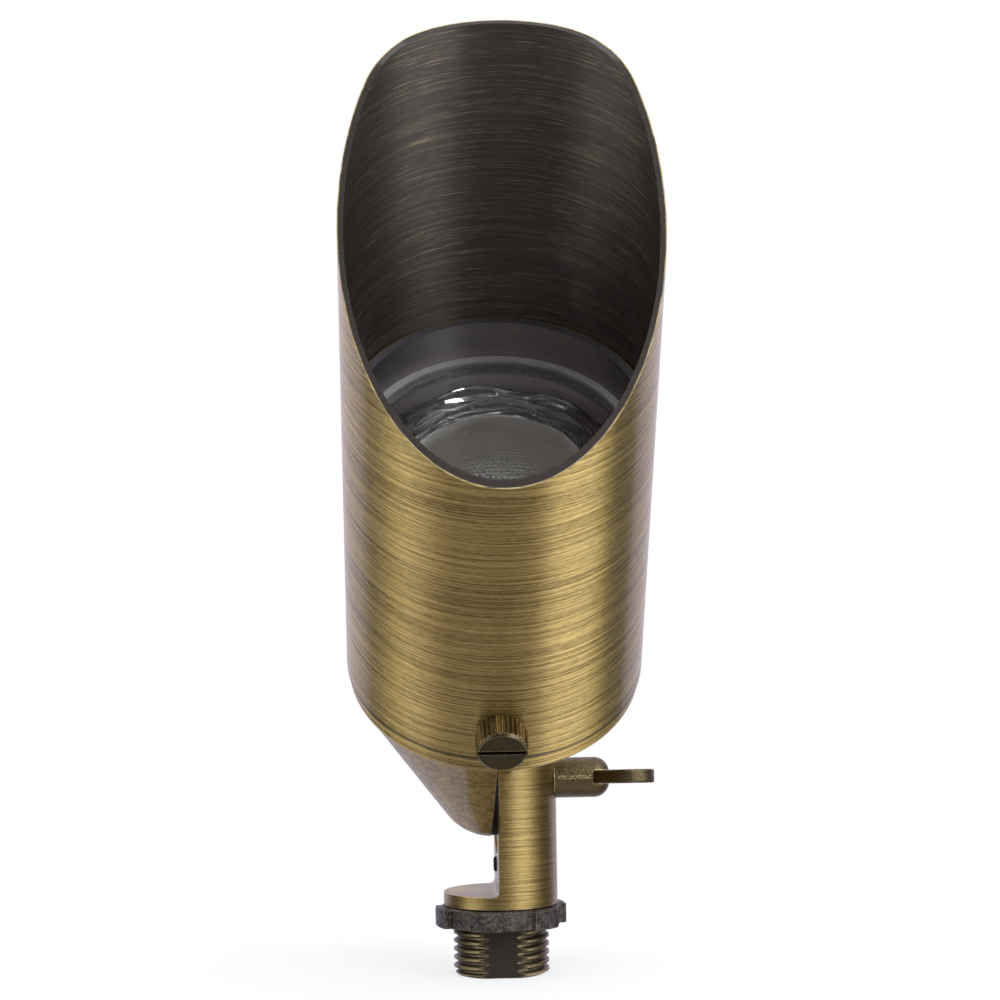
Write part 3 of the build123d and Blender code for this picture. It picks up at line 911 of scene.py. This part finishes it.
def lamp_rim_mesh(sizes):
    """Pressed glass rim of the lamp: wavy beads that step down from the outside to the dome."""
    bead = 0.7 * MM
    beads = 3
    turns = 12
    bead_shift = 1.9
    sway = 0.6
    bead_gap = 0.4 * MM
    dome_gap = 0.1 * MM
    inner_foot = dome_height(DOME_RADIUS, sizes)
    outer = Vector((SHELL_RADIUS - bead, RIM_TOP - bead))
    inner = Vector((DOME_RADIUS + bead_gap + bead, (RIM_TOP + inner_foot) / 2))

    def half_round(radius, height, shift):
        def at(step):
            lean = math.pi * step / turns

            def ring(angle):
                lift = wave(angle, sizes.glass_waves, shift) * sizes.wave_height
                return radius + sway * lift + bead * math.cos(lean), height + lift + bead * math.sin(lean)

            return ring

        return [at(step) for step in range(turns + 1)]

    foot = (
        (DOME_RADIUS + dome_gap, inner_foot),
        (DOME_RADIUS + dome_gap, LENS_LOW),
        (SHELL_RADIUS, LENS_LOW),
    )
    rings = [lambda angle, corner=corner: corner for corner in foot]
    for index in range(beads):
        radius, height = outer.lerp(inner, index / (beads - 1))
        rings += half_round(radius, height, bead_shift * index)
    return turned_rings(rings, 256)


def cover_glass_mesh():
    """Flat round pane with ground edges."""
    soft = 0.3 * MM
    outline = (
        (PANE_RADIUS - soft, PANE_LOW),
        (PANE_RADIUS, PANE_LOW + soft),
        (PANE_RADIUS, PANE_HIGH - soft),
        (PANE_RADIUS - soft, PANE_HIGH),
    )
    rings = [lambda angle, corner=corner: corner for corner in outline]
    return turned_rings(rings, 256, (PANE_LOW, PANE_HIGH))


# Operators


class SPOTLIGHT_OT_effects(bpy.types.Operator):
    """Build the effects that several finishes share"""

    bl_idname = "spotlight.effects"
    bl_label = "Shared effects"

    def execute(self, context):
        for build in (
            piece_axes_group,
            brushed_lines_group,
            worn_edges_group,
            cast_skin_group,
            dust_group,
        ):
            build()
        return {"FINISHED"}


class SPOTLIGHT_OT_shroud(bpy.types.Operator):
    """Finish the brushed shroud"""

    bl_idname = "spotlight.shroud"
    bl_label = "Shroud"

    def execute(self, context):
        scene = context.scene
        dress(brushed_tube(scene.spotlight_colours, scene.spotlight_sizes), "shroud")
        return {"FINISHED"}


class SPOTLIGHT_OT_castings(bpy.types.Operator):
    """Finish the housing and the stem"""

    bl_idname = "spotlight.castings"
    bl_label = "Castings"

    def execute(self, context):
        colours = context.scene.spotlight_colours
        sizes = context.scene.spotlight_sizes
        dress(satin_housing(colours, sizes), "rear_housing")
        dress(brushed_stem(colours, sizes), "stem_base")
        return {"FINISHED"}


class SPOTLIGHT_OT_screws(bpy.types.Operator):
    """Finish the wing screw, the thumb screw and the nuts"""

    bl_idname = "spotlight.screws"
    bl_label = "Screws and nuts"

    def execute(self, context):
        colours = context.scene.spotlight_colours
        sizes = context.scene.spotlight_sizes
        wing = cast_screw("cast_wing", colours, 2 * sizes.edge_width, 2600.0, 0.25 * MM, 1.5)
        dress(wing, "wing_screw")
        thumb = cast_screw("turned_thumb", colours, sizes.edge_width, 5200.0, 0.03 * MM, 1.65)
        dress(thumb, "thumb_screw", "knuckle_nut")
        dress(coated_nut(colours, sizes), "lock_nut")
        return {"FINISHED"}


class SPOTLIGHT_OT_seals(bpy.types.Operator):
    """Finish the rubber pieces"""

    bl_idname = "spotlight.seals"
    bl_label = "Seals"

    def execute(self, context):
        rubber = soft_rubber(context.scene.spotlight_colours)
        dress(rubber, "wire_plug", "knuckle_washer", "shroud_o_ring", "lead_seal")
        dress(speckled("satin_gasket", (0.55, 0.505, 0.51), (0.65, 0.6, 0.605), 0.36, 0.6), "lens_gasket")
        return {"FINISHED"}


class SPOTLIGHT_OT_lamp(bpy.types.Operator):
    """Make the lamp's pressed glass front and finish the lamp and its cover glass"""

    bl_idname = "spotlight.lamp"
    bl_label = "Lamp and glass"

    def execute(self, context):
        sizes = context.scene.spotlight_sizes
        clear = clear_glass("cover_glass", (0.98, 0.975, 0.97, 1.0), 0.0, 0.06)
        pane = keep_mesh("polished_cover_glass", cover_glass_mesh(), clear, 30)
        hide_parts("cover_glass")
        pressed = clear_glass("pressed_glass", (0.93, 0.94, 0.95, 1.0), 0.02, 0.03, 0.2 * MM)
        moulded = clear_glass("moulded_lens", (0.97, 0.96, 0.95, 1.0), 0.02, 0.03)
        lining = speckled("grey_lining", (0.9, 0.83, 0.77), (0.96, 0.89, 0.83), 0.5)
        rim = keep_mesh("pressed_lamp_rim", lamp_rim_mesh(sizes), pressed)
        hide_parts("lamp_shell")
        cone = keep_mesh("grey_lamp_cone", lamp_cone_mesh(), lining)
        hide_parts("lamp_shell")
        lens = keep_mesh("moulded_lamp_lens", lamp_lens_mesh(sizes), moulded)
        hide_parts("lamp_lens")
        dress(speckled("white_board", (0.62, 0.62, 0.6), (0.7, 0.7, 0.69), 0.4), "led_board")
        dress(speckled("phosphor", (0.75, 0.55, 0.1), (0.8, 0.62, 0.16), 0.5), "led_emitter")
        dress(speckled("circuit_board", (0.02, 0.09, 0.03), (0.03, 0.13, 0.05), 0.4), "lamp_driver")
        dress(speckled("white_plastic", (0.68, 0.68, 0.65), (0.73, 0.73, 0.7), 0.4), "lamp_base")
        dress(speckled("plated_pin", (0.5, 0.49, 0.46), (0.6, 0.59, 0.56), 0.2, 1.0), "lamp_pins")
        return {"FINISHED"}


class SPOTLIGHT_OT_socket(bpy.types.Operator):
    """Finish the socket, its strap and its leads"""

    bl_idname = "spotlight.socket"
    bl_label = "Socket and leads"

    def execute(self, context):
        dress(speckled("cream_ceramic", (0.72, 0.68, 0.56), (0.78, 0.74, 0.64), 0.45), "lamp_socket")
        zinc = speckled("zinc_plate", (0.42, 0.43, 0.44), (0.55, 0.56, 0.57), 0.25, 1.0)
        dress(zinc, "socket_bracket", "bracket_screws", "socket_contacts")
        dress(speckled("braided_sleeve", (0.5, 0.46, 0.38), (0.6, 0.56, 0.48), 0.7), "socket_leads")
        dress(speckled("crimp_sleeve", (0.02, 0.02, 0.022), (0.04, 0.04, 0.042), 0.35), "crimp_splices")
        return {"FINISHED"}


class SPOTLIGHT_OT_stage(bpy.types.Operator):
    """Set up the floor, the lights and the camera"""

    bl_idname = "spotlight.stage"
    bl_label = "Stage"

    def execute(self, context):
        stage = context.scene.spotlight_stage
        context.scene.view_settings.view_transform = "Standard"
        make_floor(stage)
        make_world(stage)
        make_lights(stage)
        make_camera(stage)
        return {"FINISHED"}


# Stage


FLOOR_RADIUS = 2.5
FLOOR_PAINT = (0.86, 0.86, 0.86, 1.0)
SHADOW_NEAR = 0.04
SHADOW_FAR = 0.3
SHADOW_WHITE = 0.7
SOFTBOX_REACH = 0.9
SOFTBOX_WIDTH = 0.55
SOFTBOX_TALL = 2.2
TOP_PLACE = Vector((0.12, -0.5, 0.75))
TOP_WIDTH = 0.6
TOP_DEPTH = 0.5
SENSOR_WIDTH = 36.0
NEAR_CLIP = 0.01


def make_floor(stage):
    """Pale round floor that keeps the shadow near the spotlight and turns white further out.

    In metal it shows as a dim table in front of the spotlight, a painted pool of white light under the
    softboxes, and a pale sweep behind. Each stretch is given by the way from the spotlight, as a share of its
    X or Y.
    """
    made = bmesh.new()
    bmesh.ops.create_circle(made, cap_ends=True, segments=96, radius=FLOOR_RADIUS)
    mesh = bpy.data.meshes.new("floor")
    made.to_mesh(mesh)
    made.free()
    floor = bpy.data.objects.new("floor", mesh)
    floor.location.z = CAD_BOX[0].z
    bpy.context.scene.collection.objects.link(floor)
    material = bpy.data.materials.new("pale_floor")
    material.use_nodes = True
    nodes = material.node_tree.nodes
    nodes.clear()
    wires = Wiring(material.node_tree)
    place = wires.node("TexCoord").outputs["Object"]
    far = wires.step(wires.vector("LENGTH", place), SHADOW_NEAR, SHADOW_FAR, SHADOW_WHITE, 1.0)
    path = wires.node("LightPath").outputs
    seen = wires.math("MAXIMUM", path["Is Camera Ray"], path["Is Transmission Ray"])
    mirrored = path["Is Glossy Ray"]
    share = wires.math("MAXIMUM", wires.math("MULTIPLY", seen, far), mirrored)
    way = wires.node("SeparateXYZ", {"Vector": wires.vector("NORMALIZE", place)}).outputs
    # Painted light: a pool of white on the floor under each softbox, seen only in reflections.
    right = wires.math("MULTIPLY", wires.step(way["X"], 0.4, 0.6), wires.step(way["X"], 1.0, 0.92))
    left = wires.step(way["X"], -0.6, -0.92, 0.0, 0.7)
    left = wires.math("MULTIPLY", left, wires.step(way["X"], -1.0, -0.97))
    lit = wires.math("MULTIPLY", wires.math("MAXIMUM", left, right), wires.step(way["Y"], -0.1, -0.25))
    tone = wires.blend(wires.step(way["Y"], -0.3, -0.8), opaque(stage.room), opaque(stage.table))
    tone = wires.blend(lit, tone, WHITE)
    tone = wires.blend(wires.step(way["Y"], 0.45, 0.65), tone, opaque(stage.backdrop))
    glow = wires.blend(mirrored, WHITE, tone)
    paint = wires.node("BsdfDiffuse", {"Color": FLOOR_PAINT})
    white = wires.node("Emission", {"Color": glow, "Strength": 1.0})
    both = wires.node("MixShader", {"Fac": share})
    wires.feed(both.inputs[1], paint.outputs[0])
    wires.feed(both.inputs[2], white.outputs[0])
    output = wires.node("OutputMaterial")
    wires.feed(output.inputs["Surface"], both.outputs[0])
    mesh.materials.append(material)


def make_world(stage):
    """White to the camera. To the metal a pale backdrop and ceiling, and a dim room in front."""
    world = bpy.data.worlds.new("studio")
    bpy.context.scene.world = world
    world.use_nodes = True
    nodes = world.node_tree.nodes
    nodes.clear()
    wires = Wiring(world.node_tree)
    way = wires.node("TexCoord").outputs["Generated"]
    parts = wires.node("SeparateXYZ", {"Vector": way}).outputs
    behind = wires.step(parts["Y"], 0.56, 0.66)
    above = wires.step(parts["Z"], 0.35, 0.75)
    studio = wires.blend(behind, opaque(stage.room), opaque(stage.backdrop))
    studio = wires.blend(above, studio, opaque(stage.ceiling))
    camera = wires.node("LightPath").outputs["Is Camera Ray"]
    colour = wires.blend(camera, studio, WHITE)
    background = wires.node("Background", {"Color": colour, "Strength": 1.0})
    output = wires.node("OutputWorld")
    wires.feed(output.inputs["Surface"], background.outputs[0])


def make_light(name, place, aim, power, colour, width, height):
    """A soft rectangular light that looks at a point and stays out of the picture."""
    lamp = bpy.data.lights.new(name, "AREA")
    lamp.shape = "RECTANGLE"
    lamp.size = width
    lamp.size_y = height
    lamp.energy = power
    lamp.color = colour
    light = bpy.data.objects.new(name, lamp)
    light.location = place
    light.rotation_euler = (Vector(aim) - Vector(place)).to_track_quat("-Z", "Y").to_euler()
    light.visible_camera = False
    bpy.context.scene.collection.objects.link(light)


def make_lights(stage):
    """Two tall softboxes that stand beside the camera, and a small one above it."""
    middle = (CAD_BOX[0] + CAD_BOX[1]) / 2
    boxes = (
        ("softbox_left", -stage.left_angle, stage.left_power),
        ("softbox_right", stage.right_angle, stage.right_power),
    )
    for name, angle, power in boxes:
        place = middle + Vector((math.sin(angle), -math.cos(angle), 0.0)) * SOFTBOX_REACH
        place.z = CAD_BOX[0].z + SOFTBOX_TALL / 2
        aim = (middle.x, middle.y, place.z)
        make_light(name, place, aim, power, stage.softbox_colour, SOFTBOX_WIDTH, SOFTBOX_TALL)
    place = middle + TOP_PLACE
    make_light("softbox_top", place, middle, stage.top_power, stage.softbox_colour, TOP_WIDTH, TOP_DEPTH)


def make_camera(stage):
    """The camera at the photograph's place."""
    lens = bpy.data.cameras.new("camera")
    lens.lens = stage.camera_lens
    lens.sensor_width = SENSOR_WIDTH
    lens.clip_start = NEAR_CLIP
    camera = bpy.data.objects.new("camera", lens)
    camera.location = stage.camera_place
    camera.rotation_euler = stage.camera_turn
    bpy.context.scene.collection.objects.link(camera)
    bpy.context.scene.camera = camera


class SPOTLIGHT_PT_panel(bpy.types.Panel):
    """Colours, sizes and steps of the spotlight"""

    bl_idname = "SPOTLIGHT_PT_panel"
    bl_label = "Spotlight"
    bl_space_type = "VIEW_3D"
    bl_region_type = "UI"
    bl_category = "Spotlight"

    def draw(self, context):
        for settings in (
            context.scene.spotlight_colours,
            context.scene.spotlight_sizes,
            context.scene.spotlight_stage,
        ):
            box = self.layout.box()
            for name in settings.__annotations__:
                box.prop(settings, name)
        for operator in STEPS:
            self.layout.operator(operator.bl_idname)


SETTINGS = {
    "spotlight_colours": SpotlightColours,
    "spotlight_sizes": SpotlightSizes,
    "spotlight_stage": SpotlightStage,
}
STEPS = (
    SPOTLIGHT_OT_effects,
    SPOTLIGHT_OT_shroud,
    SPOTLIGHT_OT_castings,
    SPOTLIGHT_OT_screws,
    SPOTLIGHT_OT_seals,
    SPOTLIGHT_OT_lamp,
    SPOTLIGHT_OT_socket,
    SPOTLIGHT_OT_stage,
)


def register():
    for name, group in SETTINGS.items():
        bpy.utils.register_class(group)
        setattr(bpy.types.Scene, name, PointerProperty(type=group))
    for part in (*STEPS, SPOTLIGHT_PT_panel):
        bpy.utils.register_class(part)


def unregister():
    for part in (SPOTLIGHT_PT_panel, *reversed(STEPS)):
        bpy.utils.unregister_class(part)
    for name, group in reversed(SETTINGS.items()):
        delattr(bpy.types.Scene, name)
        bpy.utils.unregister_class(group)


def main():
    register()
    bpy.ops.spotlight.effects()
    bpy.ops.spotlight.shroud()
    bpy.ops.spotlight.castings()
    bpy.ops.spotlight.screws()
    bpy.ops.spotlight.seals()
    bpy.ops.spotlight.lamp()
    bpy.ops.spotlight.socket()
    bpy.ops.spotlight.stage()


if __name__ == "__main__":
    main()
